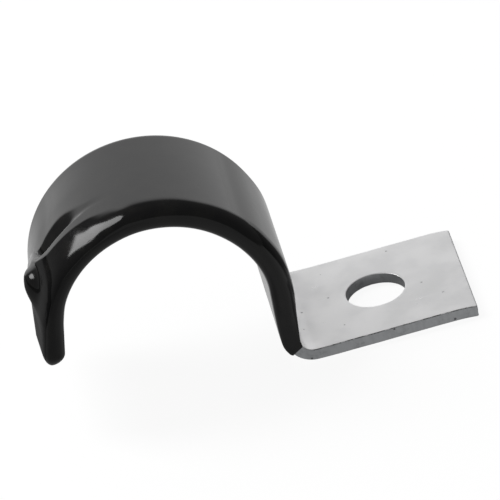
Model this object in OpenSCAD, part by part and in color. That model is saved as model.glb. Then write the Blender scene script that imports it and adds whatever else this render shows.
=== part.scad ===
// Saddle clip with one fixing hole: a folded steel strap, and a PVC sleeve dip-moulded over its
// saddle and tail. The fixing foot stays bare.
//
// The origin lies on the underside of the foot, at the middle of the fixing hole. +Z points up out
// of the foot, +X towards the foot's free end, and +Y along the bundle that the saddle holds.
// Both pieces follow one path in the XZ plane: foot, fold, leg, saddle, tail.

/* [Strap] */
// Width of the strip
strap_w = 20; // [14:0.5:30]
// Thickness of the strip
strap_t = 1.5; // [1:0.1:2]
// Inner radius of the fold between the foot and the leg
fold_r = 2; // [1.5:0.25:4]
// Corner radius at the free end of the foot
foot_corner_r = 0.6; // [0.2:0.1:3]
// Corner radius at the free end of the tail
tail_corner_r = 3; // [1:0.25:5]

/* [Foot] */
// From the middle of the hole to the start of the fold
hole_to_fold = 9.3; // [6:0.25:20]
// From the middle of the hole to the free end of the foot
hole_to_end = 11.5; // [6:0.25:20]
// Diameter of the fixing hole
hole_d = 7.7; // [4:0.1:10]

/* [Saddle] */
// Diameter of the bundle that the coated saddle fits
bundle_d = 25.5; // [20:0.5:40]
// Height of the bundle's middle above the underside of the foot
saddle_h = 11.3; // [8:0.1:16]
// Where the saddle's arc ends and the straight tail begins, in degrees round from +X
tail_at = 167; // [150:1:175]
// Length of the bare strip in the tail
tail_len = 5.4; // [5:0.1:12]

/* [Sleeve] */
// Thickness of the PVC over the faces of the strip
sleeve_t = 0.8; // [0.5:0.1:1.2]
// Thickness of the PVC past the edges and the free end of the strip
sleeve_edge_t = 0.7; // [0.6:0.1:1.5]
// Height above the underside of the foot at which the sleeve ends on the leg
sleeve_end_h = 3.6; // [3.5:0.1:7]
// Slant of the sleeve's end, which follows the level it was dipped to, in degrees
sleeve_end_slant = 22; // [15:1:40]

/* [Drip] */
// Where the drip stands on the saddle, in degrees round from +X
drip_at = 163; // [150:1:165]
// Where the drip stands across the sleeve, from the middle of its width
drip_y = 0.5; // [-4:0.5:4]
// How far the drip stands out of the sleeve
drip_rise = 1.15; // [0.6:0.05:2]
// Radius of the drip's round crown
drip_crown_r = 1.8; // [0.8:0.1:2]
// Radius of the drip's spread foot, where it is set in the sleeve
drip_foot_r = 3.7; // [2.5:0.1:4.5]

/* [Run] */
// Where the run of PVC that feeds the drip stands out most, in degrees round from +X
run_at = 136; // [125:1:145]
// Where it stands out most across the sleeve, from the middle of its width
run_y = -4.5; // [-6:0.5:0]
// How far the run stands out of the sleeve
run_rise = 0.4; // [0.2:0.05:0.8]
// Radius of the run's round back
run_r = 2.6; // [1.5:0.1:4]
// Slant of the run across the saddle, in degrees
run_slant = 27; // [10:1:35]
// How far the run reaches back up the saddle, in degrees
run_back = 40; // [35:5:60]
// How far it reaches on, towards the drip, in degrees
run_on = 26; // [15:1:30]

/* [Hidden] */
$fn = 96;

// Middle of the strip's thickness, and of the sleeve's, round the saddle and round the fold.
saddle_r = bundle_d / 2 + sleeve_t + strap_t / 2;
bend_r = fold_r + strap_t / 2;

// The fold turns round this point, and the leg joins it to the saddle.
fold_x = -hole_to_fold;
fold_z = strap_t + fold_r;
leg_len = saddle_h - fold_z;
saddle_x = fold_x - bend_r - saddle_r;

// Outer thickness and width of the sleeve, and the radius of its outer face.
sleeve_thick = strap_t + 2 * sleeve_t;
sleeve_w = strap_w + 2 * sleeve_edge_t;
sleeve_out_r = saddle_r + sleeve_thick / 2;

// How far a cutting shape runs past what it cuts.
past = 1;

// The tail starts this far inside the saddle's end, and is this much slimmer on every side, so that
// it grows out of the saddle's end face.
tail_root = 0.5;
tail_slim = 0.03;

// How deep the drip's foot is set in the sleeve, and how far round from the crown's top the foot
// takes over from the crown, in degrees.
drip_root = 0.4;
drip_shoulder = 35;

// Sweeps a section round a point of the path's plane, from one angle to another. The section is
// drawn with X its distance from the point and Y across the strip.
module swept(x, z, from, to) {
    translate([x, 0, z]) rotate([90, 0, 0]) rotate(from) rotate_extrude(angle = to - from)
        children();
}

// Sweeps a section straight up the leg, from the fold to the saddle.
module up_leg() {
    translate([fold_x - bend_r, 0, fold_z]) linear_extrude(leg_len) children();
}

// Turns about the saddle's axis so that +X points out of the saddle at an angle and +Z runs along
// the strip there, away from the foot.
module round_saddle(angle) {
    translate([saddle_x, 0, saddle_h]) rotate([0, -angle, 0]) children();
}

// The same at the end of the saddle, from the middle of the strip, so that +Z runs down the tail.
module at_tail() {
    round_saddle(tail_at) translate([saddle_r, 0, 0]) children();
}

// Band of a thickness and width, with its middle at distance r: square-edged, or with full round
// edges.
module square_band(r, thick, width) {
    translate([r - thick / 2, -width / 2]) square([thick, width]);
}

module round_band(r, thick, width) {
    square_band(r, thick, width - thick);
    for (side = [-1, 1]) translate([r, side * (width - thick) / 2]) circle(d = thick);
}

// Half of a round band, from its middle at 0 out to its round edge at distance r.
module half_round_band(r, thick) {
    translate([0, -thick / 2]) square([r - thick / 2, thick]);
    intersection() {
        translate([r - thick / 2, 0]) circle(d = thick);
        translate([r - thick / 2, -thick / 2]) square([thick / 2, thick]);
    }
}

// Outline of a plate that runs len along Y to a free end with round corners.
module rounded_end(width, len, corner_r) {
    translate([-width / 2, 0]) square([width, len - corner_r]);
    translate([corner_r - width / 2, 0]) square([width - 2 * corner_r, len]);
    for (side = [-1, 1]) translate([side * (width / 2 - corner_r), len - corner_r])
        circle(corner_r);
}

// Bare foot with its fixing hole.
module foot() {
    difference() {
        rotate(-90) translate([0, fold_x]) linear_extrude(strap_t)
            rounded_end(strap_w, hole_to_end - fold_x, foot_corner_r);
        translate([0, 0, -past]) cylinder(d = hole_d, h = strap_t + 2 * past);
    }
}

// Tail of the strip, with its corners rounded.
module strip_tail() {
    thick = strap_t - 2 * tail_slim;
    at_tail() translate([-thick / 2, 0, -tail_root]) rotate([90, 0, 90]) linear_extrude(thick)
        rounded_end(strap_w - 2 * tail_slim, tail_len + tail_root, tail_corner_r);
}

// The strip, folded up: also what the sleeve is moulded over.
module folded_strip() {
    foot();
    swept(fold_x, fold_z, 180, 270) square_band(bend_r, strap_t, strap_w);
    up_leg() square_band(0, strap_t, strap_w);
    swept(saddle_x, saddle_h, 0, tail_at) square_band(saddle_r, strap_t, strap_w);
    strip_tail();
}

// Tail of the sleeve: its round edge runs down both sides, round the corners and across the end.
module sleeve_tail() {
    thick = sleeve_thick - 2 * tail_slim;
    width = sleeve_w - 2 * tail_slim;
    corner_r = tail_corner_r + sleeve_edge_t;
    corner_y = width / 2 - corner_r;
    corner_z = tail_len + sleeve_edge_t - corner_r;
    at_tail() {
        translate([0, 0, -tail_root]) linear_extrude(corner_z + tail_root)
            round_band(0, thick, width);
        for (side = [0, 1]) mirror([0, side, 0]) translate([0, corner_y, corner_z])
            rotate([90, 0, 90]) rotate_extrude(angle = 90) half_round_band(corner_r, thick);
        translate([0, corner_y, corner_z]) rotate([90, 0, 0]) linear_extrude(2 * corner_y)
            rotate(90) half_round_band(corner_r, thick);
    }
}

// Drip at the sleeve's lowest point as it drained: a round crown on a foot that spreads out.
module drip() {
    crown_z = drip_rise - drip_crown_r;
    shoulder_r = drip_crown_r * sin(drip_shoulder);
    shoulder_z = crown_z + drip_crown_r * cos(drip_shoulder);
    round_saddle(drip_at) translate([sleeve_out_r, drip_y, 0]) rotate([0, 90, 0]) {
        translate([0, 0, crown_z]) sphere(drip_crown_r);
        translate([0, 0, -drip_root])
            cylinder(r1 = drip_foot_r, r2 = shoulder_r, h = shoulder_z + drip_root);
    }
}

// Run of PVC that drained to the drip: a ring round the saddle, tipped so that it crosses the
// sleeve on a slant and sinks into it at both ends.
module run() {
    round_saddle(run_at) translate([0, run_y, 0]) rotate([90 - run_slant, 0, 0])
        rotate(-run_back) rotate_extrude(angle = run_back + run_on)
        translate([sleeve_out_r + run_rise - run_r, 0]) circle(run_r);
}

// Drip and run, held to the outer face alone: from the middle of the strip out, and between the
// edges of the strip.
module drained_pvc() {
    intersection() {
        union() {
            drip();
            run();
        }
        translate([saddle_x, strap_w / 2, saddle_h]) rotate([90, 0, 0]) difference() {
            cylinder(r = sleeve_out_r + drip_rise + past, h = strap_w);
            translate([0, 0, -past]) cylinder(r = saddle_r, h = strap_w + 2 * past);
        }
    }
}

// The space that stayed above the level of the dip, on the foot's side of a slanting plane.
module above_dip() {
    reach = hole_to_fold + saddle_h;
    translate([fold_x - fold_r, 0, sleeve_end_h]) rotate([0, sleeve_end_slant, 0])
        translate([0, -strap_w, -reach]) cube([reach, 2 * strap_w, 2 * reach]);
}

module steel_strap() {
    color("silver") folded_strip();
}

module pvc_sleeve() {
    color([0.13, 0.13, 0.14]) difference() {
        union() {
            swept(fold_x, fold_z, 180, 270) round_band(bend_r, sleeve_thick, sleeve_w);
            up_leg() round_band(0, sleeve_thick, sleeve_w);
            swept(saddle_x, saddle_h, 0, tail_at) round_band(saddle_r, sleeve_thick, sleeve_w);
            sleeve_tail();
            drained_pvc();
        }
        folded_strip();
        above_dip();
    }
}

steel_strap();
pvc_sleeve();
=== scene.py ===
"""Builds the looks of a one-hole saddle clip: a zinc-plated steel strap and its dipped PVC sleeve.

Both pieces follow one line in the XZ plane: foot, fold, leg, saddle, tail. Distances along that
line and across the strip are in millimetres, and the finished meshes are in metres.
"""

import logging
import math
from dataclasses import dataclass, field
from enum import Enum

import bmesh
import bpy
import numpy as np
from mathutils import Matrix, Vector
from mathutils.geometry import delaunay_2d_cdt


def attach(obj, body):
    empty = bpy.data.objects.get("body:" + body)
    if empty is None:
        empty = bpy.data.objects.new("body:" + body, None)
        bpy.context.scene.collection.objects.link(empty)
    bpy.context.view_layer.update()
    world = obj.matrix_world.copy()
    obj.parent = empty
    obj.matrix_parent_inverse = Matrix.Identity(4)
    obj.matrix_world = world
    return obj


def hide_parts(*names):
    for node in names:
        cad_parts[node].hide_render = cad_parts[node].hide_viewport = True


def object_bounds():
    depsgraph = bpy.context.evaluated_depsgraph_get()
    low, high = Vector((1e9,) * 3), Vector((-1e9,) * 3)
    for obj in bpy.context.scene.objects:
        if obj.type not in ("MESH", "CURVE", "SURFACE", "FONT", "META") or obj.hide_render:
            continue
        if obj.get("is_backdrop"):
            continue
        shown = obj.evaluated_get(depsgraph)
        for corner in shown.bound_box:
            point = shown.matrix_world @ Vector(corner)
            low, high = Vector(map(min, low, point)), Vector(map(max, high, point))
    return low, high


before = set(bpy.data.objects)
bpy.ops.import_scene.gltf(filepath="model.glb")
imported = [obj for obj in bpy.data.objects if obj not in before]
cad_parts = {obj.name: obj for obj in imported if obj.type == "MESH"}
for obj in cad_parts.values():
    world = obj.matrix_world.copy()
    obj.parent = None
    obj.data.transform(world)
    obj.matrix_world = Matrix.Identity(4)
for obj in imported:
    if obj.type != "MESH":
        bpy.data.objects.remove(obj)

Numbers = np.ndarray | float
Pair = tuple[float, float]
Triple = tuple[float, float, float]
Contour = tuple[np.ndarray, np.ndarray]
Socket = bpy.types.NodeSocket

LOG = logging.getLogger("saddle_clip")
MM = 0.001
QUARTER = math.pi / 2
EASE = 0.22
TINY = 1e-7


class Slot(Enum):
    """Material slots of the record."""

    ZINC = "zinc_steel"
    PVC = "black_pvc"


class Side(Enum):
    """Sides of the strip: the outer face of the saddle is also the top of the foot."""

    OUTER = 1.0
    INNER = -1.0


class Metal(Enum):
    """Finishes of the strap, by their material index."""

    PLATE = 0
    SHEARED = 1
    BURR = 2


def share(x: Numbers, start: Numbers, end: Numbers) -> np.ndarray:
    """How far x has come from start to end, from 0 to 1; end may lie below start."""
    return np.clip((np.asarray(x, dtype=float) - start) / (end - start), 0.0, 1.0)


def smooth(x: Numbers, start: Numbers, end: Numbers) -> np.ndarray:
    """Rises smoothly from 0 at start to 1 at end; end may lie below start."""
    t = share(x, start, end)
    return t * t * (3.0 - 2.0 * t)


def bell(x: np.ndarray, middle: float, spread: float) -> np.ndarray:
    """A round bump of height 1 that has fallen to a third at spread from its middle."""
    return np.exp(-(((x - middle) / spread) ** 2))


def eased(x: Numbers, start: Numbers, end: Numbers) -> np.ndarray:
    """Rises from 0 at start to 1 at end along a straight ramp whose two ends are rounded.

    Args:
        x: Where to evaluate.
        start: Where the rise starts.
        end: Where the rise ends; it may lie below start.

    Returns:
        Values from 0 to 1.
    """
    t = share(x, start, end)
    rounded = 2 * EASE * (1 - EASE)
    ramp = (t - EASE / 2) / (1 - EASE)
    top = 1 - (1 - t) ** 2 / rounded
    return np.where(t < EASE, t * t / rounded, np.where(t > 1 - EASE, top, ramp))


def wrapped(front: np.ndarray, back: np.ndarray) -> np.ndarray:
    """Joins the rows of two faces, which share their first and last columns, into rings."""
    return np.concatenate([front, back[:, -2:0:-1]], axis=1)


def shown(name: str, data: bpy.types.ID) -> bpy.types.Object:
    """Makes an object and puts it in the scene.

    Args:
        name: Name of the object.
        data: Its mesh, lamp or camera.

    Returns:
        The new object.
    """
    thing = bpy.data.objects.new(name, data)
    bpy.context.scene.collection.objects.link(thing)
    return thing


@dataclass(frozen=True)
class Course:
    """A value that changes smoothly along a line, given at a few stations."""

    stations: tuple[float, ...]
    values: tuple[float, ...]

    def at(self, x: Numbers) -> np.ndarray:
        """Value at x, on a monotone cubic through the stations.

        Args:
            x: Where to evaluate.

        Returns:
            The values.
        """
        xs, ys = np.array(self.stations), np.array(self.values)
        step = np.diff(xs)
        rise = np.diff(ys) / step
        slope = np.zeros(len(xs))
        turning = rise[:-1] * rise[1:] > 0
        mean = 2.0 * rise[:-1] * rise[1:] / np.where(turning, rise[:-1] + rise[1:], 1.0)
        slope[1:-1] = np.where(turning, mean, 0.0)
        x = np.clip(np.asarray(x, dtype=float), xs[0], xs[-1])
        i = np.clip(np.searchsorted(xs, x) - 1, 0, len(step) - 1)
        h, t = step[i], (x - xs[i]) / step[i]
        return (
            ys[i] * (1 + 2 * t) * (1 - t) ** 2
            + ys[i + 1] * t * t * (3 - 2 * t)
            + h * slope[i] * t * (1 - t) ** 2
            - h * slope[i + 1] * t * t * (1 - t)
        )


@dataclass(frozen=True)
class StrapPath:
    """Line in the XZ plane that the middle of the strip follows, from the foot's free end."""

    foot_end_x: float = 11.5
    strip_t: float = 1.5
    fold_r: float = 2.0
    saddle_x: float = -26.35
    saddle_z: float = 11.3
    saddle_r: float = 14.3
    lean: float = 1.8
    tail_at: float = 167.0
    tail_len: float = 5.4
    # The tail's end is sheared off square by eye only.
    tail_skew: float = 0.06
    tail_skew_run: float = 6.0

    @property
    def bend_r(self) -> float:
        """Radius of the fold at the middle of the strip."""
        return self.fold_r + self.strip_t / 2

    @property
    def leg_foot(self) -> Pair:
        """Where the leg leaves the fold.

        Returns:
            X and Z of that point.
        """
        tilt = math.radians(self.lean)
        top_x = self.saddle_x + self.saddle_r * math.cos(tilt)
        top_z = self.saddle_z - self.saddle_r * math.sin(tilt)
        low_z = self.strip_t / 2 + self.bend_r * (1 + math.sin(tilt))
        return top_x - (top_z - low_z) * math.tan(tilt), low_z

    @property
    def lengths(self) -> tuple[float, float, float, float, float]:
        """Lengths of the line's five parts.

        Returns:
            The foot, the fold, the leg, the saddle and the tail.
        """
        tilt = math.radians(self.lean)
        leg_x, leg_z = self.leg_foot
        fold_x = leg_x + self.bend_r * math.cos(tilt)
        return (
            self.foot_end_x - fold_x,
            self.bend_r * (QUARTER + tilt),
            (self.saddle_z - self.saddle_r * math.sin(tilt) - leg_z) / math.cos(tilt),
            self.saddle_r * math.radians(self.tail_at + self.lean),
            self.tail_len,
        )

    @property
    def fold_start(self) -> float:
        """Distance along the line at which the fold starts."""
        return self.lengths[0]

    @property
    def leg_start(self) -> float:
        """Distance along the line at which the leg starts."""
        return sum(self.lengths[:2])

    @property
    def saddle_start(self) -> float:
        """Distance along the line at which the saddle's arc starts."""
        return sum(self.lengths[:3])

    @property
    def end(self) -> float:
        """Distance along the line to the strip's end in the tail."""
        return sum(self.lengths)

    def angle(self, s: np.ndarray) -> np.ndarray:
        """How far round the saddle a distance lies, in degrees from +X, past the arc's ends too."""
        return np.degrees((s - self.saddle_start) / self.saddle_r) - self.lean

    def distance(self, angle: float) -> float:
        """Distance along the line to an angle round the saddle, in degrees from +X."""
        return self.saddle_start + self.saddle_r * math.radians(angle + self.lean)

    @staticmethod
    def walk(start: Triple, run: Numbers, bend: float) -> tuple[Numbers, ...]:
        """Goes on from a place in the XZ plane, straight or round an arc.

        Args:
            start: X, Z and heading there, in radians.
            run: How far to go.
            bend: Turn a millimetre, in radians; 0 is straight.

        Returns:
            X, Z and heading at the end.
        """
        x, z, heading = start
        if not bend:
            return x + run * math.cos(heading), z + run * math.sin(heading), heading + 0 * run
        turn = heading + bend * run
        x = x + (np.sin(turn) - math.sin(heading)) / bend
        return x, z - (np.cos(turn) - math.cos(heading)) / bend, turn

    def place(self, s: np.ndarray, across: np.ndarray, off: Numbers) -> np.ndarray:
        """Turns strip coordinates into points.

        Args:
            s: Distances along the line.
            across: Distances across the strip, along +Y.
            off: Distances off the line, towards the outer face.

        Returns:
            Points in millimetres, in an array whose last axis is X, Y, Z.
        """
        s, across, off = np.broadcast_arrays(s, across, off)
        s = s + self.tail_skew * across * smooth(s, self.end - self.tail_skew_run, self.end)
        bends = (0.0, -1.0 / self.bend_r, 0.0, 1.0 / self.saddle_r, 0.0)
        corner, start = (self.foot_end_x, self.strip_t / 2, math.pi), 0.0
        out = np.zeros(s.shape + (3,))
        for length, bend in zip(self.lengths, bends):
            x, z, turn = self.walk(corner, s - start, bend)
            on = (s >= start) | (start == 0.0)
            out[..., 0] = np.where(on, x + off * np.sin(turn), out[..., 0])
            out[..., 2] = np.where(on, z - off * np.cos(turn), out[..., 2])
            corner = self.walk(corner, length, bend)
            start += length
        out[..., 1] = across
        return out


@dataclass
class Skin:
    """Points and faces of one mesh in the making."""

    points: list[np.ndarray] = field(default_factory=list)
    faces: list[tuple[int, ...]] = field(default_factory=list)
    marks: list[int] = field(default_factory=list)
    count: int = 0

    def add(self, points: np.ndarray) -> np.ndarray:
        """Adds points, in millimetres.

        Args:
            points: Array whose last axis is X, Y, Z.

        Returns:
            Their numbers, in the array's shape.
        """
        flat = points.reshape(-1, 3)
        ids = np.arange(self.count, self.count + len(flat)).reshape(points.shape[:-1])
        self.points.append(flat)
        self.count += len(flat)
        return ids

    def band(self, first: np.ndarray, second: np.ndarray, mark: int = 0) -> None:
        """Joins two closed rings of the same length with quads of one material index."""
        quads = np.stack([first, np.roll(first, -1), np.roll(second, -1), second], axis=1)
        self.fill(quads, mark)

    def fill(self, faces: np.ndarray, mark: int = 0) -> None:
        """Adds faces, given as rows of point numbers, with one material index."""
        self.faces.extend(map(tuple, faces.tolist()))
        self.marks.extend([mark] * len(faces))

    def build(self, name: str, weld: float) -> bpy.types.Object:
        """Makes the object.

        Args:
            name: Name of the object and its mesh.
            weld: Points nearer than this, in millimetres, become one.

        Returns:
            The new object, smooth shaded.
        """
        mesh = bpy.data.meshes.new(name)
        mesh.from_pydata((np.concatenate(self.points) * MM).tolist(), [], self.faces)
        mesh.polygons.foreach_set("material_index", self.marks)
        mesh.polygons.foreach_set("use_smooth", [True] * len(self.faces))
        work = bmesh.new()
        work.from_mesh(mesh)
        bmesh.ops.remove_doubles(work, verts=work.verts, dist=weld * MM)
        bmesh.ops.dissolve_degenerate(work, edges=work.edges, dist=weld * MM / 10)
        bmesh.ops.recalc_face_normals(work, faces=work.faces)
        work.to_mesh(mesh)
        work.free()
        mesh.update()
        return shown(name, mesh)


@dataclass(frozen=True)
class Cloud:
    """A cloudy pattern: size of its largest clouds in mm, its finer layers, and its stretch."""

    size: float
    layers: float
    fineness: float = 0.5
    stretch: Triple = (1.0, 1.0, 1.0)


@dataclass(frozen=True)
class Specks:
    """Scattered round specks: size of each one's cell in mm, and their radius as a share of it."""

    cell: float
    reach: float
    core: float = 0.6


class Graph:
    """Lays out a node tree."""

    def __init__(self, tree: bpy.types.NodeTree) -> None:
        """Starts on a tree, emptied."""
        self.tree = tree
        tree.nodes.clear()

    def node(self, kind: str, **settings: str) -> bpy.types.Node:
        """Adds a node and sets its properties.

        Args:
            kind: Blender's name of the node's type.
            **settings: Properties to set.

        Returns:
            The node.
        """
        node = self.tree.nodes.new(kind)
        for key, value in settings.items():
            setattr(node, key, value)
        return node

    def give(self, value: Socket | float | Triple, socket: Socket) -> None:
        """Joins a value to an input, or sets the input where the value is plain.

        Args:
            value: Output of another node, number or colour.
            socket: The input.
        """
        if isinstance(value, Socket):
            self.tree.links.new(value, socket)
        else:
            socket.default_value = (*value, 1.0) if isinstance(value, tuple) else value

    def axes(self, vector: Socket) -> tuple[Socket, Socket]:
        """Takes a vector apart.

        Args:
            vector: The vector.

        Returns:
            Its X and its Y.
        """
        parts = self.node("ShaderNodeSeparateXYZ")
        self.give(vector, parts.inputs[0])
        return parts.outputs["X"], parts.outputs["Y"]

    def ramp(
        self, value: Socket, start: float, end: float, low: float = 0.0, high: float = 1.0
    ) -> Socket:
        """Maps a value smoothly from one range to another.

        Args:
            value: What to map.
            start: Value that becomes low.
            end: Value that becomes high.
            low: Result at start.
            high: Result at end.

        Returns:
            The mapped value.
        """
        node = self.node("ShaderNodeMapRange", interpolation_type="SMOOTHSTEP")
        limits = {"From Min": start, "From Max": end, "To Min": low, "To Max": high}
        for key, number in (limits | {"Value": value}).items():
            self.give(number, node.inputs[key])
        return node.outputs["Result"]

    def combine(self, operation: str, first: Socket, *others: Socket | float) -> Socket:
        """Arithmetic on values, one after another.

        Args:
            operation: Name of the Math operation.
            first: First value.
            *others: The values or numbers that follow.

        Returns:
            The result.
        """
        for other in others:
            node = self.node("ShaderNodeMath", operation=operation)
            self.give(first, node.inputs[0])
            self.give(other, node.inputs[1])
            first = node.outputs["Value"]
        return first

    def blend(self, factor: Socket, first: Triple | Socket, second: Triple | Socket) -> Socket:
        """Mixes two colours.

        Args:
            factor: 0 for the first colour, 1 for the second.
            first: First colour.
            second: Second colour.

        Returns:
            The mixed colour.
        """
        node = self.node("ShaderNodeMix", data_type="RGBA")
        inputs = (node.inputs["Factor"], node.inputs[6], node.inputs[7])
        for value, socket in zip((factor, first, second), inputs):
            self.give(value, socket)
        return node.outputs[2]


class Shader(Graph):
    """Lays out one material round a Principled shader."""

    def __init__(self, name: str) -> None:
        """Makes the material.

        Args:
            name: Its name.
        """
        self.material = bpy.data.materials.new(name)
        self.material.use_nodes = True
        super().__init__(self.material.node_tree)
        self.places: dict[Triple, Socket] = {}
        self.bsdf = self.node("ShaderNodeBsdfPrincipled")
        output = self.node("ShaderNodeOutputMaterial")
        self.give(self.bsdf.outputs["BSDF"], output.inputs["Surface"])

    def surface(self, values: dict[str, Socket | float | Triple]) -> None:
        """Sets or joins the shader's inputs, by name."""
        for name, value in values.items():
            self.give(value, self.bsdf.inputs[name])

    def place(self, stretch: Triple = (1.0, 1.0, 1.0)) -> Socket:
        """Coordinates of the piece itself, stretched.

        Args:
            stretch: Factor along X, Y and Z.

        Returns:
            The coordinates.
        """
        if stretch not in self.places:
            mapping = self.node("ShaderNodeMapping")
            mapping.inputs["Scale"].default_value = stretch
            self.give(self.node("ShaderNodeTexCoord").outputs["Object"], mapping.inputs["Vector"])
            self.places[stretch] = mapping.outputs["Vector"]
        return self.places[stretch]

    def noise(self, cloud: Cloud) -> Socket:
        """Lays out a cloudy pattern.

        Args:
            cloud: Its sizes.

        Returns:
            Values from 0 to 1.
        """
        node = self.node("ShaderNodeTexNoise")
        self.give(1.0 / (cloud.size * MM), node.inputs["Scale"])
        self.give(cloud.layers, node.inputs["Detail"])
        self.give(cloud.fineness, node.inputs["Roughness"])
        self.give(self.place(cloud.stretch), node.inputs["Vector"])
        return node.outputs["Fac"]

    def specks(self, specks: Specks) -> Socket:
        """Lays out scattered specks.

        Args:
            specks: Their sizes.

        Returns:
            1 in a speck and 0 outside it.
        """
        cells = self.node("ShaderNodeTexVoronoi")
        self.give(1.0 / (specks.cell * MM), cells.inputs["Scale"])
        self.give(self.place(), cells.inputs["Vector"])
        return self.ramp(cells.outputs["Distance"], specks.reach, specks.core * specks.reach)

    def relief(self, *layers: tuple[Socket, float]) -> None:
        """Bumps the surface.

        Args:
            *layers: Pairs of a pattern and its height in millimetres.
        """
        below = None
        for pattern, height in layers:
            bump = self.node("ShaderNodeBump")
            self.give(height * MM, bump.inputs["Distance"])
            self.give(pattern, bump.inputs["Height"])
            if below is not None:
                self.give(below, bump.inputs["Normal"])
            below = bump.outputs["Normal"]
        self.give(below, self.bsdf.inputs["Normal"])


@dataclass(frozen=True)
class ZincPlate:
    """Satin zinc plate on the rolled faces of the strip."""

    light: Triple = (0.88, 0.878, 0.882)
    dull: Triple = (0.845, 0.845, 0.851)
    spot: Triple = (0.50, 0.50, 0.51)
    metallic: float = 0.8
    roughness: Pair = (0.29, 0.35)
    clouds: Cloud = Cloud(5.0, 4.0, 0.6)
    patched: Pair = (0.42, 0.66)
    hazed: Pair = (0.35, 0.7)
    drawn: Cloud = Cloud(0.5, 2.0, stretch=(0.05, 1.0, 1.0))
    scratched: Pair = (0.66, 0.76)
    scratch_gloss: float = 0.06
    specks: Specks = Specks(2.6, 0.07)
    dents: Cloud = Cloud(6.0, 1.0)
    grain: Cloud = Cloud(0.16, 3.0, 0.7)
    dent_h: float = 0.012
    grain_h: float = 0.0015
    scratch_h: float = -0.001
    speck_h: float = -0.02

    def material(self) -> bpy.types.Material:
        """Makes the finish: cloudy patches, small specks, drawn scratches and a fine grain.

        Returns:
            The material.
        """
        shader = Shader("zinc_plate")
        clouds, specks = shader.noise(self.clouds), shader.specks(self.specks)
        scratches = shader.ramp(shader.noise(self.drawn), *self.scratched)
        color = shader.blend(shader.ramp(clouds, *self.patched), self.light, self.dull)
        rough = shader.ramp(clouds, *self.hazed, *self.roughness)
        gloss = shader.combine("MULTIPLY", scratches, -self.scratch_gloss)
        shader.surface(
            {
                "Base Color": shader.blend(specks, color, self.spot),
                "Metallic": self.metallic,
                "Roughness": shader.combine("ADD", rough, gloss),
            }
        )
        shader.relief(
            (shader.noise(self.dents), self.dent_h),
            (shader.noise(self.grain), self.grain_h),
            (scratches, self.scratch_h),
            (specks, self.speck_h),
        )
        return shader.material


@dataclass(frozen=True)
class ShearedEdge:
    """Zinc plate over the strip's sheared edges and the wall of its hole."""

    smooth_part: Triple = (0.55, 0.562, 0.575)
    torn_part: Triple = (0.45, 0.46, 0.47)
    pit: Triple = (0.2, 0.2, 0.21)
    metallic: float = 1.0
    roughness: Pair = (0.40, 0.60)
    streaks: Cloud = Cloud(0.5, 3.0, 0.6, (1.0, 1.0, 0.25))
    streaked: Pair = (0.3, 0.7)
    tears: Cloud = Cloud(1.3, 5.0, 0.7)
    torn: Pair = (0.50, 0.70)
    pits: Specks = Specks(1.9, 0.10)
    streak_h: float = 0.02
    tear_h: float = -0.02
    pit_h: float = -0.05

    def material(self) -> bpy.types.Material:
        """Makes the finish: streaks across the thickness and small torn pits.

        Returns:
            The material.
        """
        shader = Shader("sheared_edge")
        streaks, pits = shader.noise(self.streaks), shader.specks(self.pits)
        torn = shader.ramp(shader.noise(self.tears), *self.torn)
        color = shader.blend(torn, self.smooth_part, self.torn_part)
        shader.surface(
            {
                "Base Color": shader.blend(pits, color, self.pit),
                "Metallic": self.metallic,
                "Roughness": shader.ramp(streaks, *self.streaked, *self.roughness),
            }
        )
        shader.relief((streaks, self.streak_h), (torn, self.tear_h), (pits, self.pit_h))
        return shader.material


@dataclass(frozen=True)
class BurrLine:
    """Dark broken line of painted shade where the shear's blade rolled the top face over the near
    edge.
    """

    metal: Triple = (0.80, 0.803, 0.81)
    # Colour of the painted shade, which stands for the shade of the rolled-over edge.
    edge_shade: Triple = (0.06, 0.058, 0.055)
    metallic: float = 0.7
    roughness: float = 0.5
    breaks: Cloud = Cloud(1.6, 5.0, 0.75)
    broken: Pair = (0.44, 0.56)
    near_edge: Pair = (-9.7, -9.9)

    def material(self) -> bpy.types.Material:
        """Makes the finish: plate that shows between short runs of painted shade.

        Returns:
            The material.
        """
        shader = Shader("burr_line")
        broken = shader.ramp(shader.noise(self.breaks), *self.broken)
        near = shader.ramp(shader.axes(shader.place())[1], *(y * MM for y in self.near_edge))
        # Painted shade: broken runs, kept to the near edge.
        shade_mask = shader.combine("MULTIPLY", broken, near)
        shader.surface(
            {
                "Base Color": shader.blend(shade_mask, self.metal, self.edge_shade),
                "Metallic": self.metallic,
                "Roughness": self.roughness,
            }
        )
        return shader.material


@dataclass(frozen=True)
class DippedPvc:
    """Black PVC with the skin that it takes when it fuses in the oven."""

    color: Triple = (0.008, 0.008, 0.0083)
    dusty: Triple = (0.0158, 0.015, 0.0138)
    roughness: Pair = (0.08, 0.14)
    index: float = 1.42
    haze: Cloud = Cloud(2.5, 4.0, 0.65)
    dusted: Pair = (0.4, 0.75)
    hazed: Pair = (0.3, 0.75)
    waves: Cloud = Cloud(7.0, 2.0)
    peel: Cloud = Cloud(0.45, 2.0)
    pinholes: Specks = Specks(5.5, 0.035)
    wave_h: float = 0.02
    peel_h: float = 0.0012
    pinhole_h: float = -0.008

    def material(self) -> bpy.types.Material:
        """Makes the finish: long soft waves, a faint orange peel, and a few pinholes.

        Returns:
            The material.
        """
        shader = Shader("dipped_pvc")
        haze = shader.noise(self.haze)
        shader.surface(
            {
                "Base Color": shader.blend(
                    shader.ramp(haze, *self.dusted), self.color, self.dusty
                ),
                "Roughness": shader.ramp(haze, *self.hazed, *self.roughness),
                "IOR": self.index,
            }
        )
        shader.relief(
            (shader.noise(self.waves), self.wave_h),
            (shader.noise(self.peel), self.peel_h),
            (shader.specks(self.pinholes), self.pinhole_h),
        )
        return shader.material


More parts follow.
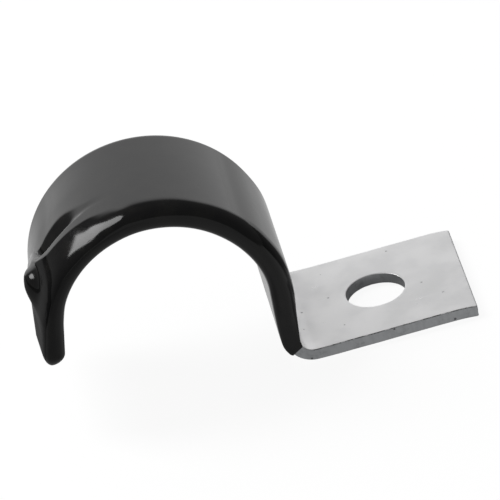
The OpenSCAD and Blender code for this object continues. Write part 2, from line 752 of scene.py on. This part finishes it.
@dataclass(frozen=True)
class SteelStrap:
    """Folded strip with its punched foot, as sheared and bent metal really comes out."""

    name: str = "steel_strap_folded"
    path: StrapPath = StrapPath()
    width: float = 20.0
    hole_d: float = 7.7
    foot_corner_r: float = 0.32
    tail_corners: Pair = (1.5, 4.5)
    # The foot's free end is sheared a little out of square, and droops.
    skew: float = 0.042
    skew_run: float = 7.0
    stretch: float = 0.1
    droop: float = 0.24
    droop_run: float = 3.2
    # At its edges the fold bulges on its hollow side and draws in on its round side.
    bulge_out: Pair = (0.2, -0.08)
    bulge_up: Pair = (0.13, 0.05)
    bulge_rim: Pair = (2.0, 0.2)
    bulge_reach: float = 0.62
    # The rolled faces are faintly wavy.
    waviness: float = 0.012
    waves: tuple[Pair, Pair] = ((0.9, 0.4), (-0.3, 0.55))
    # Inside the sleeve the outer face is eased down at the near edge, where the PVC is thin.
    relieved: float = 0.24
    relieved_rim: Pair = (1.6, 0.1)
    relieved_from: Pair = (6.0, 14.0)
    # The edge's rings from the outer face on: how far inside the outline, and how far off the
    # middle of the thickness. Then the bands between them that carry the burr.
    edge: tuple[Pair, ...] = (
        (0.30, 0.750), (0.15, 0.749), (0.08, 0.740), (0.03, 0.715), (0.005, 0.670),
        (0.00, 0.600), (0.00, 0.100), (0.03, -0.080), (0.05, -0.400),
        (0.04, -0.640), (0.05, -0.720), (0.10, -0.750),
    )
    burr: tuple[int, ...] = (1, 2)
    # Fineness of the mesh.
    corner_points: int = 9
    hole_points: int = 96
    widest_gap: float = 2.0
    end_step: float = 0.5
    foot_step: float = 0.55
    fold_points: int = 22
    leg_step: float = 1.0
    saddle_step: float = 0.8
    across_points: int = 27
    # Room left beside the outline and the hole.
    first_step: float = 0.6
    last_step: float = 0.3
    rim_room: float = 0.9
    corner_room: float = 0.45
    hole_room: float = 0.75
    bore_room: float = 0.077
    sliver: float = 0.004
    merge: float = 1e-6
    weld: float = 0.0005

    def outline(self) -> Contour:
        """Outline of the strip laid flat.

        Returns:
            Points as (along, across), and the direction out of the strip at each.
        """
        half, end = self.width / 2, self.path.end
        corners = (
            (self.foot_corner_r, 0.0, -half, 180.0),
            (self.tail_corners[0], end, -half, 270.0),
            (self.tail_corners[1], end, half, 0.0),
            (self.foot_corner_r, 0.0, half, 90.0),
        )
        points, out = [], []
        for radius, along, across, first in corners:
            inward = radius if along == 0.0 else -radius
            middle = np.array([along + inward, across - math.copysign(radius, across)])
            turns = np.radians(first + np.linspace(0.0, 90.0, self.corner_points))
            ways = np.stack([np.cos(turns), np.sin(turns)], axis=1)
            points.append(middle + radius * ways)
            out.append(ways)
        return self.spaced(np.concatenate(points), np.concatenate(out))

    def spaced(self, points: np.ndarray, ways: np.ndarray) -> Contour:
        """Adds points along a closed outline wherever two lie far apart.

        Args:
            points: Points of the outline.
            ways: Direction out of the strip at each.

        Returns:
            The same with more points.
        """
        more, more_ways = [], []
        for point, following, way in zip(points, np.roll(points, -1, axis=0), ways):
            gap = float(np.linalg.norm(following - point))
            if gap < self.widest_gap:
                shares = []
            elif abs(following[0] - point[0]) < gap / 2:
                shares = np.linspace(0.0, 1.0, int(gap / self.end_step) + 1)[1:-1]
            else:
                shares = np.sort((self.stations() - point[0]) / (following[0] - point[0]))
                shares = shares[(shares > self.sliver) & (shares < 1 - self.sliver)]
            more += [point, *(point + part * (following - point) for part in shares)]
            more_ways += [way] * (1 + len(shares))
        return np.array(more), np.array(more_ways)

    def stations(self) -> np.ndarray:
        """Distances along the strip at which its faces have points.

        Returns:
            The distances, close together where the strip bends.
        """
        fold, leg, saddle = self.path.fold_start, self.path.leg_start, self.path.saddle_start
        return np.concatenate(
            [
                np.arange(self.first_step, fold - self.last_step, self.foot_step),
                np.linspace(fold, leg, self.fold_points),
                np.arange(leg + self.leg_step / 2, saddle, self.leg_step),
                np.arange(saddle, self.path.end - self.last_step, self.saddle_step),
            ]
        )

    def hole(self) -> Contour:
        """Outline of the fixing hole.

        Returns:
            Points as (along, across), and the direction out of the steel at each.
        """
        turns = np.linspace(0.0, -2.0 * math.pi, self.hole_points, endpoint=False)
        ways = np.stack([np.cos(turns), np.sin(turns)], axis=1)
        middle = np.array([self.path.foot_end_x, 0.0])
        return middle + self.hole_d / 2 * ways, -ways

    def from_hole(self, flat: np.ndarray) -> np.ndarray:
        """Distances of points of the flat strip from the middle of the hole."""
        return np.hypot(flat[:, 0] - self.path.foot_end_x, flat[:, 1])

    def rim(self, across: np.ndarray, band: Pair) -> np.ndarray:
        """Rises from 0 to 1 over a band, given by its two distances in from the strip's edge."""
        return smooth(across, self.width / 2 - band[0], self.width / 2 - band[1])

    def shaped(self, flat: np.ndarray, off: float) -> np.ndarray:
        """Folds points of the flat strip up, with the marks that shearing and bending leave.

        Args:
            flat: Points as (along, across).
            off: How far they lie off the middle of the thickness, towards the outer face.

        Returns:
            Points in millimetres.
        """
        along, across = flat[:, 0], flat[:, 1]
        outer = 0.5 + 0.5 * off / (self.path.strip_t / 2)
        fold, leg = self.path.fold_start, self.path.leg_start
        folded = bell(along, (fold + leg) / 2, self.bulge_reach * (leg - fold))
        bulge = self.rim(np.abs(across), self.bulge_rim) * folded
        out, up = (a * outer + b * (1 - outer) for a, b in (self.bulge_out, self.bulge_up))
        (a, b), (c, d) = self.waves
        wavy = np.sin(a * along + b * across) * np.cos(c * along + d * across)
        hidden = smooth(along, *(leg + run for run in self.relieved_from))
        relieved = self.relieved * outer * hidden * self.rim(-across, self.relieved_rim)
        moved_off = off + bulge * up + self.waviness * wavy - relieved
        near_end = 1 - smooth(along, 0.0, self.skew_run)
        moved_s = along - (self.skew * across + self.stretch) * near_end
        points = self.path.place(moved_s, across + np.sign(across) * bulge * out, moved_off)
        points[:, 2] -= self.droop * np.clip(1 - along / self.droop_run, 0.0, None) ** 2
        return points

    def face(self, skin: Skin, rings: list[Contour], off: float) -> None:
        """Covers one broad face of the strip with triangles.

        Args:
            skin: Mesh to add to.
            rings: The face's two boundaries, each as flat points and their numbers in the skin.
            off: How far the face lies off the middle of the thickness.
        """
        rim, bore = rings
        reach = self.width / 2 - self.rim_room
        rows = np.linspace(-reach, reach, self.across_points)
        grid = np.array([(s, y) for s in self.stations() for y in rows])
        clear = self.from_hole(grid) > self.hole_d / 2 + self.hole_room
        grid = grid[clear & self.inside(grid, rim[0], self.corner_room)]
        edges, first = [], 0
        for ring in (rim[0], bore[0]):
            edges += [(first + i, first + (i + 1) % len(ring)) for i in range(len(ring))]
            first += len(ring)
        flat = np.concatenate([rim[0], bore[0], grid])
        found = delaunay_2d_cdt([Vector(p) for p in flat], edges, [], 0, self.merge)
        triangles = np.array(found[2])
        source = np.array([origin[0] for origin in found[3]])
        middles = np.array([tuple(v) for v in found[0]])[triangles].mean(axis=1)
        on_steel = self.from_hole(middles) > self.hole_d / 2 + self.bore_room
        kept = triangles[on_steel & self.inside(middles, rim[0], 0.0)]
        ids = np.concatenate([rim[1], bore[1], skin.add(self.shaped(grid, off))])
        skin.fill(ids[source[kept]])

    @staticmethod
    def inside(points: np.ndarray, loop: np.ndarray, margin: float) -> np.ndarray:
        """Whether points lie inside a convex loop.

        Args:
            points: Points to test.
            loop: Corners of the loop, in order.
            margin: Least distance from the loop.

        Returns:
            True for each point inside.
        """
        along = np.roll(loop, -1, axis=0) - loop
        size = np.linalg.norm(along, axis=1)
        real = size > TINY
        loop, along, size = loop[real], along[real], size[real]
        span = points[:, None, :] - loop[None]
        depth = (along[None, :, 0] * span[:, :, 1] - along[None, :, 1] * span[:, :, 0]) / size
        return depth.min(axis=1) > margin - TINY

    def build(self) -> bpy.types.Object:
        """Builds the strap's mesh: its edges ring by ring, then both faces.

        Returns:
            The strap.
        """
        skin = Skin()
        rims: list[list[Contour]] = []
        for on_outline, (points, ways) in ((True, self.outline()), (False, self.hole())):
            flats = [points - inset * ways for inset, _ in self.edge]
            ids = [skin.add(self.shaped(flat, off)) for flat, (_, off) in zip(flats, self.edge)]
            for step, (upper, lower) in enumerate(zip(ids, ids[1:])):
                metal = Metal.SHEARED if step > max(self.burr) else Metal.PLATE
                if on_outline and step in self.burr:
                    metal = Metal.BURR
                skin.band(upper, lower, metal.value)
            rims.append([(flats[0], ids[0]), (flats[-1], ids[-1])])
        for side, rings in zip((Side.OUTER, Side.INNER), zip(*rims)):
            self.face(skin, list(rings), side.value * self.path.strip_t / 2)
        return skin.build(self.name, self.weld)

    def dress(self, piece: bpy.types.Object) -> None:
        """Gives the strap its finishes: plate on the faces, sheared metal on the edges."""
        for finish in (ZincPlate(), ShearedEdge(), BurrLine()):
            piece.data.materials.append(finish.material())


@dataclass(frozen=True)
class PvcSleeve:
    """PVC sleeve, as it drains and fuses after the clip is lifted out of the dip.

    A course named by angle runs round the saddle, in degrees from +X. The near edge lies at -Y.
    """

    name: str = "pvc_sleeve_dipped"
    path: StrapPath = StrapPath()
    strip_w: float = 20.0
    coat: float = 0.8
    edge_coat: float = 0.7
    edge_r: float = 1.55
    corners: Pair = (2.2, 5.2)
    # The lip on the fold: its roundness, and how far each part of it lies along the line.
    lip: float = 0.35
    end_outer: float = 0.3
    end_edge: float = -1.7
    end_inner: float = -1.95
    end_rim: Pair = (1.7, -0.1)
    end_fade: float = 5.5
    ripples: tuple[Triple, Triple] = ((0.06, 1.1, 0.7), (0.04, 2.9, 0.0))
    # Coat at the lip on the outer face and past the edge, and how it thickens along the line.
    end_coat: Pair = (0.10, 0.26)
    coat_grows: Pair = (-1.0, 6.2)
    edge_grows: Pair = (0.0, 5.0)
    edge_rounds: Pair = (0.5, 6.0)
    swell: float = 0.15
    swell_from_to: tuple[Pair, Pair] = ((-16.0, -2.0), (10.0, 26.0))
    # Coat on the inner face, by the distance from the lip; it sags under the saddle's end.
    inner_coat: Course = Course(
        (0, 1.5, 3.5, 6, 9, 12, 15, 20, 26, 32),
        (0.25, 0.55, 0.66, 0.62, 0.58, 0.63, 0.74, 0.84, 0.84, 0.80),
    )
    sag: float = 0.1
    sag_from_to: Pair = (150.0, 162.0)
    # By angle: PVC that pools along the near edge.
    pool: Course = Course((60, 90, 110, 130, 150, 165, 180), (0, 0.05, 0.2, 0.25, 0.22, 0.15, 0))
    # By angle: where the outer face starts to fall to the near edge, how far, and how fast.
    flank_run: Course = Course((-10, 10, 30, 45, 60, 75, 94), (2.0, 3.0, 3.0, 2.6, 2.6, 3.2, 3.4))
    flank_y: Course = Course(
        (94, 100, 106, 112, 120, 128, 134, 140, 145, 148, 152, 156, 160, 165, 170, 178, 188),
        (
            -8.4, -7.4, -7.0, -6.4, -6.2, -6.1, -5.9, -5.0, -3.4,
            -2.2, -0.4, 1.2, 2.2, 1.6, -0.6, -2.8, -3.4,
        ),
    )
    flank_joins: Pair = (90.0, 100.0)
    flank_slope: Course = Course(
        (94, 104, 114, 124, 134, 150, 158, 166, 174),
        (0.0, 0.2, 0.5, 0.52, 0.58, 0.63, 0.62, 0.50, 0.37),
    )
    flank_power: Course = Course((94, 112, 124, 132, 140, 150), (2.0, 3.3, 3.6, 6.0, 10.0, 12.0))
    # By angle: the run's height, and the width of its top.
    rise: Course = Course(
        (98, 112, 120, 130, 140, 150, 158, 164, 168, 174),
        (0.0, 0.03, 0.16, 0.32, 0.44, 0.50, 0.46, 0.42, 0.25, 0.0),
    )
    top_width: Course = Course(
        (100, 118, 128, 138, 145, 155, 165), (2.6, 1.6, 1.2, 0.9, 0.6, 0.5, 0.5)
    )
    # By angle: the depth of the valley behind the run, the Y of its floor and of the top of its
    # far slope, and the height of the shoulder past it. Both slopes have a least width, and the
    # near one widens where the run parts from the valley.
    valley: Course = Course(
        (113, 117, 121, 126, 131, 137, 142, 147, 152),
        (0.0, 0.06, 0.28, 0.58, 0.70, 0.68, 0.52, 0.2, 0.0),
    )
    valley_low: Course = Course(
        (110, 117, 124, 130, 137, 143, 150), (-4.2, -3.8, -3.9, -4.0, -3.8, -3.0, -0.8)
    )
    valley_y: Course = Course(
        (110, 117, 124, 130, 137, 143, 150), (-2.4, -1.6, -0.6, -0.3, -0.3, -0.6, 0.6)
    )
    valley_slopes: Pair = (0.7, 1.2)
    parting: float = 2.0
    parting_at: Pair = (144.0, 154.0)
    shoulder: Course = Course((100, 115, 130, 142, 152, 160), (0.0, 0.1, 0.15, 0.15, 0.08, 0.0))
    shoulder_y: Pair = (2.0, 9.5)
    # The drip: its angle and Y, its height, and its reach above, below, near and far. The reach
    # along the line changes from above to below over its turns.
    drip_at: Pair = (155.2, -3.2)
    drip_rise: float = 1.45
    drip_along: Pair = (1.15, 2.3)
    drip_turns: Pair = (-0.9, 1.3)
    drip_aside: Pair = (2.35, 2.4)
    drip_power: float = 2.6
    # Most of the half width that an edge's fall may take, and the most that its own points span.
    most: float = 0.98
    nose: float = 2.0
    # Towards the tip the far edge's rounding swells.
    tip_run: float = 6.5
    tip_swell: float = 0.5
    tip_most: float = 0.9
    tip_round: float = 1.15
    # Fineness of the mesh.
    step: float = 0.3
    fine_step: float = 0.16
    fine_from_to: Pair = (150.0, 170.0)
    joining_steps: Pair = (0.12, 0.1)
    across_steps: int = 90
    edge_steps: int = 18
    lip_points: int = 8
    tip_points: int = 14
    # The cavity, which overlaps the steel by its inset.
    cavity_stride: int = 4
    cavity_short: float = 0.05
    cavity_inset: float = 0.02
    weld: float = 0.002

    @property
    def first(self) -> float:
        """Distance along the line that the sleeve's end is measured from."""
        return self.path.leg_start

    @property
    def last(self) -> float:
        """Distance along the line to the tip of the sleeve."""
        return self.path.end + self.edge_coat

    @property
    def edge_turns(self) -> np.ndarray:
        """Angles round an edge, from its middle to the face."""
        return np.linspace(0.0, QUARTER, self.edge_steps + 1)

    @property
    def shares(self) -> np.ndarray:
        """Places of the points between the two edges, as shares of the way across."""
        return np.linspace(0.0, 1.0, self.across_steps + 1)[1:-1]

    def stations(self) -> tuple[np.ndarray, np.ndarray]:
        """Stations along the sleeve.

        Returns:
            Distances along the line, and at each the share of the coat that the rounded lip has
            reached.
        """
        turns = np.linspace(0.0, QUARTER, self.lip_points)
        lip_s = self.first + self.lip * (1 - np.cos(turns))
        fine = [self.path.distance(angle) for angle in self.fine_from_to]
        after, before = self.joining_steps
        body = np.concatenate(
            [
                np.arange(lip_s[-1] + after, fine[0], self.step),
                np.arange(fine[0], fine[1], self.fine_step),
                np.arange(fine[1], self.last - self.edge_r - before, self.step),
            ]
        )
        tip_turns = np.linspace(QUARTER, 0.0, self.tip_points)
        ends = self.last - self.edge_r * (1 - np.cos(tip_turns))
        lip = np.concatenate([np.sin(turns), np.ones(len(body) + len(ends))])
        return np.concatenate([lip_s, body, ends]), lip

    def half_width(self, s: np.ndarray, side: float, grown: float) -> np.ndarray:
        """Half the width of the outline at a distance along the line, on one side.

        Args:
            s: Distances along the line.
            side: -1 for the near edge, 1 for the far one.
            grown: How far the outline lies outside the strip's.

        Returns:
            The distances from the middle.
        """
        corner = self.corners[side > 0] - self.edge_coat + grown
        half = self.strip_w / 2 + grown
        into = np.clip(s - (self.path.end + grown - corner), 0.0, corner)
        return half - corner + np.sqrt(np.clip(corner**2 - into**2, 0.0, None))

    def drip(self, angle: np.ndarray, y: np.ndarray) -> np.ndarray:
        """Height of the drip over the face that it hangs from.

        Args:
            angle: Angles round the saddle.
            y: Distances across.

        Returns:
            The heights.
        """
        along = (angle - self.drip_at[0]) * math.radians(1.0) * self.path.saddle_r
        above, below = self.drip_along
        reach = above + (below - above) * smooth(along, *self.drip_turns)
        aside = y - self.drip_at[1]
        aside = aside / np.where(aside < 0, *self.drip_aside)
        out = np.sqrt((along / reach) ** 2 + aside**2)
        return self.drip_rise * np.exp(-(out**self.drip_power))

    def relief(self, s: np.ndarray, y: np.ndarray) -> np.ndarray:
        """How far the run, its valley and the drip lift the outer face.

        Args:
            s: Distances along the line.
            y: Distances across.

        Returns:
            The heights over the plain coat.
        """
        angle = self.path.angle(s)
        back = self.flank_y.at(angle) + self.top_width.at(angle)
        to_low, to_high = self.valley_slopes
        apart = to_low + self.parting * smooth(angle, *self.parting_at)
        low = np.maximum(self.valley_low.at(angle), back + apart)
        high = np.maximum(self.valley_y.at(angle), low + to_high)
        behind = smooth(y - back, 0.0, low - back)
        climb = eased(y - low, 0.0, high - low)
        ridge = self.rise.at(angle) * (1 - behind)
        dip = self.valley.at(angle) * behind * (1 - climb)
        far = self.shoulder.at(angle) * climb * (1 - smooth(y, *self.shoulder_y))
        return ridge - dip + far + self.drip(angle, y)

    def near_run(self, angle: np.ndarray, out_near: np.ndarray) -> np.ndarray:
        """How far in from the near outline the outer face starts to fall.

        Args:
            angle: Angles round the saddle.
            out_near: Half widths of the near outline there.

        Returns:
            The distances.
        """
        on_face = self.flank_run.at(angle)
        along_run = out_near + self.flank_y.at(angle)
        run = on_face + (along_run - on_face) * smooth(angle, *self.flank_joins)
        return np.clip(run, self.edge_r, out_near * self.most)

    def face_coat(self, s: np.ndarray, side: Side) -> np.ndarray:
        """Thickness of the plain coat over a face.

        Args:
            s: Stations along the line.
            side: The face.

        Returns:
            The thickness at each station, short of the lip.
        """
        open_s, angle = s - self.first, self.path.angle(s)
        if side is Side.INNER:
            return self.inner_coat.at(open_s) + self.sag * smooth(angle, *self.sag_from_to)
        start, _ = self.end_coat
        grown = start + (self.coat - start) * smooth(open_s, *self.coat_grows)
        rises, falls = self.swell_from_to
        return grown + self.swell * smooth(angle, *rises) * (1 - smooth(angle, *falls))

    def face(self, s: np.ndarray, lip: np.ndarray, side: Side) -> tuple[np.ndarray, ...]:
        """Lays out one face of the outer skin, from the near edge's middle to the far one's.

        Args:
            s: Stations along the line.
            lip: Share of the coat that the rounded lip has reached at each.
            side: The face.

        Returns:
            Distances along, across and off, each with one row a station.
        """
        turns, angle = self.edge_turns, self.path.angle(s)
        outer = side is Side.OUTER
        coat = self.face_coat(s, side) * lip
        _, start = self.end_coat
        edge = start + (self.edge_coat - start) * smooth(s - self.first, *self.edge_grows)
        edge = edge * lip
        near = self.half_width(s, -1.0, self.edge_coat) + edge - self.edge_coat
        near = near + self.pool.at(angle)
        far = self.half_width(s, 1.0, self.edge_coat) + edge - self.edge_coat
        roll = self.near_run(angle, near) if outer else np.minimum(self.edge_r, near * self.most)
        tip = smooth(s, self.last - self.tip_run, self.last)
        tip_r = self.edge_r * (1.0 + self.tip_swell * tip)
        tip_r = np.minimum(tip_r, np.minimum(near, far) * self.tip_most)
        near, far, roll, tip_r = near[:, None], far[:, None], roll[:, None], tip_r[:, None]
        y_near = -near + np.minimum(roll, self.nose) * (1 - np.cos(turns))
        y_far = far - tip_r * (1 - np.cos(turns[::-1]))
        y_mid = y_near[:, -1:] + (y_far[:, :1] - y_near[:, -1:]) * self.shares
        y = np.concatenate([y_near, y_mid, y_far], axis=1)
        near_u = 1 - share(y + near, 0.0, roll)
        slope = self.flank_slope.at(angle)[:, None] if outer else 0.0
        power = self.flank_power.at(angle)[:, None] if outer else 2.0
        fall = (1 - slope * near_u) * np.sqrt(1 - near_u**power)
        fall = fall * np.sqrt(1 - (1 - share(far - y, 0.0, tip_r)) ** 2)
        end_q = share(self.last - s, 0.0, self.edge_r * self.tip_round)[:, None]
        fall = fall * np.sqrt(1 - (1 - end_q) ** 2)
        lifted = self.relief(s[:, None], y) * lip[:, None] if outer else 0.0
        off = (self.path.strip_t / 2 + coat[:, None] + lifted) * fall
        plain_y, plain_off = self.squared(s, coat, edge, y_mid)
        round_share = smooth(s - self.first, *self.edge_rounds)[:, None]
        y = plain_y + (y - plain_y) * round_share
        off = plain_off + (off - plain_off) * round_share
        return self.end_line(s, y, side), y, side.value * off

    def squared(
        self, s: np.ndarray, coat: np.ndarray, edge: np.ndarray, middle: np.ndarray
    ) -> tuple[np.ndarray, np.ndarray]:
        """One face of a thin coat whose edges still follow the strip's square corners.

        Args:
            s: Stations along the line.
            coat: Thickness over the face at each station.
            edge: Thickness past the edge at each station.
            middle: Distances across of the points between the edges, one row a station.

        Returns:
            Distances across and off, each with one row a station.
        """
        half_t, turns = self.path.strip_t / 2, self.edge_turns
        wall = turns < QUARTER / 2
        bend = np.where(wall, 0.0, 2 * turns - QUARTER)
        y = self.half_width(s, 1.0, 0.0)[:, None] + edge[:, None] * np.cos(bend)
        off = np.where(wall, half_t * np.tan(np.minimum(turns, QUARTER / 2)), half_t)
        off = off + coat[:, None] * np.sin(bend)
        flat = half_t + coat[:, None] + 0 * middle
        rows_y = np.concatenate([-y, middle, y[:, ::-1]], axis=1)
        return rows_y, np.concatenate([off, flat, off[:, ::-1]], axis=1)

    def end_line(self, s: np.ndarray, y: np.ndarray, side: Side) -> np.ndarray:
        """Moves the rings near the sleeve's end so that it follows the slanting dip level.

        Args:
            s: Stations along the line.
            y: Distances across, one row a station.
            side: Side of the strip.

        Returns:
            Distances along, one row a station.
        """
        rim = smooth(np.abs(y), *(self.strip_w / 2 - run for run in self.end_rim))
        face = self.end_outer if side is Side.OUTER else self.end_inner
        shift = face + (self.end_edge - face) * rim
        ripple = sum(height * np.sin(turn * y + start) for height, turn, start in self.ripples)
        fade = 1 - smooth(s, self.first, self.first + self.end_fade)
        return s[:, None] + (shift + ripple) * fade[:, None]

    def cavity(self, s: np.ndarray) -> tuple[np.ndarray, np.ndarray, np.ndarray]:
        """Lays out the cavity that the strip fills.

        Args:
            s: Stations along the line, all short of the strip's end.

        Returns:
            Distances along, across and off, each with one row a station.
        """
        none = np.zeros(len(s))
        reach = self.half_width(s, 1.0, 0.0)[:, None] - (self.edge_r - self.edge_coat)
        face_y, face_off = self.squared(s, none, none, -reach + 2 * reach * self.shares)
        along = wrapped(*(self.end_line(s, face_y, side) for side in (Side.OUTER, Side.INNER)))
        y = wrapped(face_y, face_y) * (1 - self.cavity_inset / (self.strip_w / 2))
        off = wrapped(face_off, -face_off)
        off = off - np.sign(off) * self.cavity_inset
        off[:, [0, face_y.shape[1] - 1]] = 0.0
        return along, y, off

    def build(self) -> bpy.types.Object:
        """Builds the sleeve: its outer skin, the lip, and the cavity that the strip fills.

        Returns:
            The sleeve.
        """
        skin = Skin()
        s, lip = self.stations()
        faces = (self.face(s, lip, side) for side in (Side.OUTER, Side.INNER))
        outer = skin.add(self.path.place(*(wrapped(*rows) for rows in zip(*faces))))
        held = np.flatnonzero(s < self.path.end - self.cavity_short)
        body = held[self.lip_points :: self.cavity_stride]
        along, y, off = self.cavity(s[np.unique(np.concatenate([held[:1], body, held[-1:]]))])
        cavity = skin.add(self.path.place(along, y, off))
        closing = skin.add(self.path.place(along[-1], y[-1], 0.0))
        for ring, following in zip(outer, outer[1:]):
            skin.band(ring, following)
        rings = [outer[0], *cavity, closing]
        for ring, following in zip(rings, rings[1:]):
            skin.band(following, ring)
        return skin.build(self.name, self.weld)

    def dress(self, piece: bpy.types.Object) -> None:
        """Gives the sleeve its finish."""
        piece.data.materials.append(DippedPvc().material())


@dataclass(frozen=True)
class Studio:
    """Camera, softbox, floor and surroundings, in metres but for the camera's place."""

    azimuth: float = -1.19
    elevation: float = 29.63
    roll: float = 15.05
    distance: float = 300.0
    aside: Pair = (16.394, -6.353)
    lens: float = 168.1
    clip: Pair = (0.01, 50.0)
    # A dim room, a white panel behind the object, and a weaker glow behind the camera, by the Y
    # of the way to them.
    room_light: float = 0.18
    panel_light: float = 1.17
    panel_reach: Pair = (0.71, 0.83)
    back_light: float = 0.48
    back_reach: Pair = (-0.60, -0.82)
    # The softbox that draws the streak on the sleeve's near edge.
    key_way: Triple = (-0.487, 0.374, 0.792)
    key_centre: Triple = (-0.025, 0.0, 0.012)
    key_distance: float = 0.5
    key_size: Pair = (0.155, 0.35)
    key_power: float = 0.96
    floor_half: float = 3.0
    floor_gap: float = 0.00005
    floor_rough: float = 0.9
    floor_color: Triple = (0.2, 0.2, 0.2)
    floor_glow: float = 0.91
    # Painted reflection, seen by glossy rays only: the floor pale within two slanting edges, paler
    # far away.
    # Near the object it is dimmer, and past the edges dark, as painted shade.
    shine: float = 0.49
    far_light: float = 0.80
    far_reach: Pair = (0.08, 0.50)
    far_from: Triple = (-0.045, 0.0, 0.0)
    left_slant: float = 1.25
    left_edge: Pair = (-0.036, -0.026)
    right_slant: float = -1.0
    right_edge: Pair = (0.008, 0.015)
    # In front of the object the painted reflection is dimmer, more so on the left.
    near_light: float = 0.35
    front_light: float = 0.32
    front: Pair = (-0.055, -0.025)
    front_end: Pair = (0.007, -0.005)
    side_light: float = 0.5
    side_reach: Pair = (-0.020, -0.036)
    # Far to the left the floor is dark to glossy rays only: painted shade in the reflections.
    dark: Triple = (0.05, 0.05, 0.05)
    dark_x: Pair = (-0.112, -0.135)
    dark_left: Pair = (-0.036, -0.046)

    def set_camera(self) -> None:
        """Creates the camera and makes it the scene's."""
        a, e, r = (math.radians(v) for v in (self.azimuth, self.elevation, self.roll))
        level = Vector((math.cos(a), math.sin(a), 0.0))
        ahead = Vector((-math.sin(a) * math.cos(e), math.cos(a) * math.cos(e), -math.sin(e)))
        above = level.cross(ahead)
        right = math.cos(r) * level - math.sin(r) * above
        up = math.sin(r) * level + math.cos(r) * above
        pose = Matrix((right, up, -ahead)).transposed().to_4x4()
        pose.translation = -MM * (
            right * self.aside[0] + up * self.aside[1] + ahead * self.distance
        )
        data = bpy.data.cameras.new("camera")
        data.lens = self.lens
        data.clip_start, data.clip_end = self.clip
        camera = shown("camera", data)
        camera.matrix_world = pose
        bpy.context.scene.camera = camera

    def set_softbox(self) -> None:
        """Hangs the softbox."""
        data = bpy.data.lights.new("softbox", "AREA")
        data.shape = "RECTANGLE"
        data.size, data.size_y = self.key_size
        data.energy = self.key_power
        way = Vector(self.key_way).normalized()
        lamp = shown("softbox", data)
        lamp.location = Vector(self.key_centre) + way * self.key_distance
        lamp.rotation_euler = way.to_track_quat("Z", "Y").to_euler()

    def set_world(self) -> None:
        """Lights the object from a dim room with the white panel in it; the camera sees white."""
        world = bpy.data.worlds.new("studio")
        bpy.context.scene.world = world
        world.use_nodes = True
        graph = Graph(world.node_tree)
        _, y = graph.axes(graph.node("ShaderNodeTexCoord").outputs["Generated"])
        panel = graph.ramp(y, *self.panel_reach, self.room_light, self.panel_light)
        back = graph.ramp(y, *self.back_reach, 0.0, self.back_light)
        seen = graph.node("ShaderNodeLightPath").outputs["Is Camera Ray"]
        background = graph.node("ShaderNodeBackground")
        graph.give(graph.combine("MAXIMUM", panel, back, seen), background.inputs["Strength"])
        output = graph.node("ShaderNodeOutputWorld")
        graph.give(background.outputs[0], output.inputs["Surface"])

    def floor_material(self) -> bpy.types.Material:
        """Makes the floor's finish: pale to the eye, with painted reflections for glossy rays, its
        own light dimmed near the object as painted shade.

        Returns:
            The material.
        """
        shader = Shader("pale_floor")
        spot = shader.node("ShaderNodeNewGeometry").outputs["Position"]
        away = shader.node("ShaderNodeVectorMath", operation="DISTANCE")
        away.inputs[1].default_value = self.far_from
        shader.give(spot, away.inputs[0])
        x, y = shader.axes(spot)
        left, right = (
            shader.combine("ADD", y, shader.combine("MULTIPLY", x, slant))
            for slant in (self.left_slant, self.right_slant)
        )
        # Painted reflection: light that only glossy rays see, with painted shade near the object
        # and past the edges.
        shine = shader.combine(
            "MULTIPLY",
            shader.ramp(away.outputs["Value"], *self.far_reach, self.shine, self.far_light),
            shader.ramp(left, *self.left_edge),
            shader.ramp(right, *self.right_edge),
        )
        near = shader.combine(
            "MULTIPLY",
            shader.ramp(y, *self.front, self.front_light, self.near_light),
            shader.ramp(y, *self.front_end),
            shader.ramp(x, *self.side_reach, 1.0, self.side_light),
        )
        rays = shader.node("ShaderNodeLightPath").outputs
        glossy = rays["Is Glossy Ray"]
        # Painted shade in the reflections: glossy rays see a darker floor colour far to the left.
        dark = shader.combine(
            "MULTIPLY",
            shader.ramp(x, *self.dark_x),
            shader.ramp(left, *self.dark_left),
            glossy,
        )
        mirrored = shader.combine("MULTIPLY", shader.combine("MAXIMUM", shine, near), glossy)
        seen = shader.combine("MULTIPLY", rays["Is Camera Ray"], self.floor_glow)
        shader.surface(
            {
                "Base Color": shader.blend(dark, self.floor_color, self.dark),
                "Roughness": self.floor_rough,
                "Specular IOR Level": 0.0,
                "Emission Color": (1.0, 1.0, 1.0),
                "Emission Strength": shader.combine("ADD", mirrored, seen),
            }
        )
        return shader.material

    def set_floor(self, height: float) -> None:
        """Lays the pale floor.

        Args:
            height: Its height in metres.
        """
        signs = ((-1, -1), (1, -1), (1, 1), (-1, 1))
        corners = [(self.floor_half * x, self.floor_half * y, height) for x, y in signs]
        mesh = bpy.data.meshes.new("floor")
        mesh.from_pydata(corners, [], [(0, 1, 2, 3)])
        mesh.materials.append(self.floor_material())
        shown("floor", mesh)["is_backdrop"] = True

    def build(self, lowest: float) -> None:
        """Sets the whole scene up round the object.

        Args:
            lowest: Height of the object's lowest point, in metres.
        """
        bpy.context.scene.view_settings.view_transform = "Standard"
        self.set_camera()
        self.set_softbox()
        self.set_world()
        self.set_floor(lowest - self.floor_gap)


def main() -> None:
    """Builds both pieces and the studio."""
    logging.basicConfig(level=logging.INFO, format="%(name)s: %(message)s")
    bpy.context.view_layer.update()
    parts = ((SteelStrap(), "steel_strap", Slot.ZINC), (PvcSleeve(), "pvc_sleeve", Slot.PVC))
    for part, node, slot in parts:
        piece = part.build()
        part.dress(piece)
        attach(piece, "root")
        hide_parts(node)
        LOG.info("%s: %d faces", piece.name, len(piece.data.polygons))
    looks_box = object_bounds()
    Studio().build(looks_box[0].z)
    LOG.info("studio built")


if __name__ == "__main__":
    main()
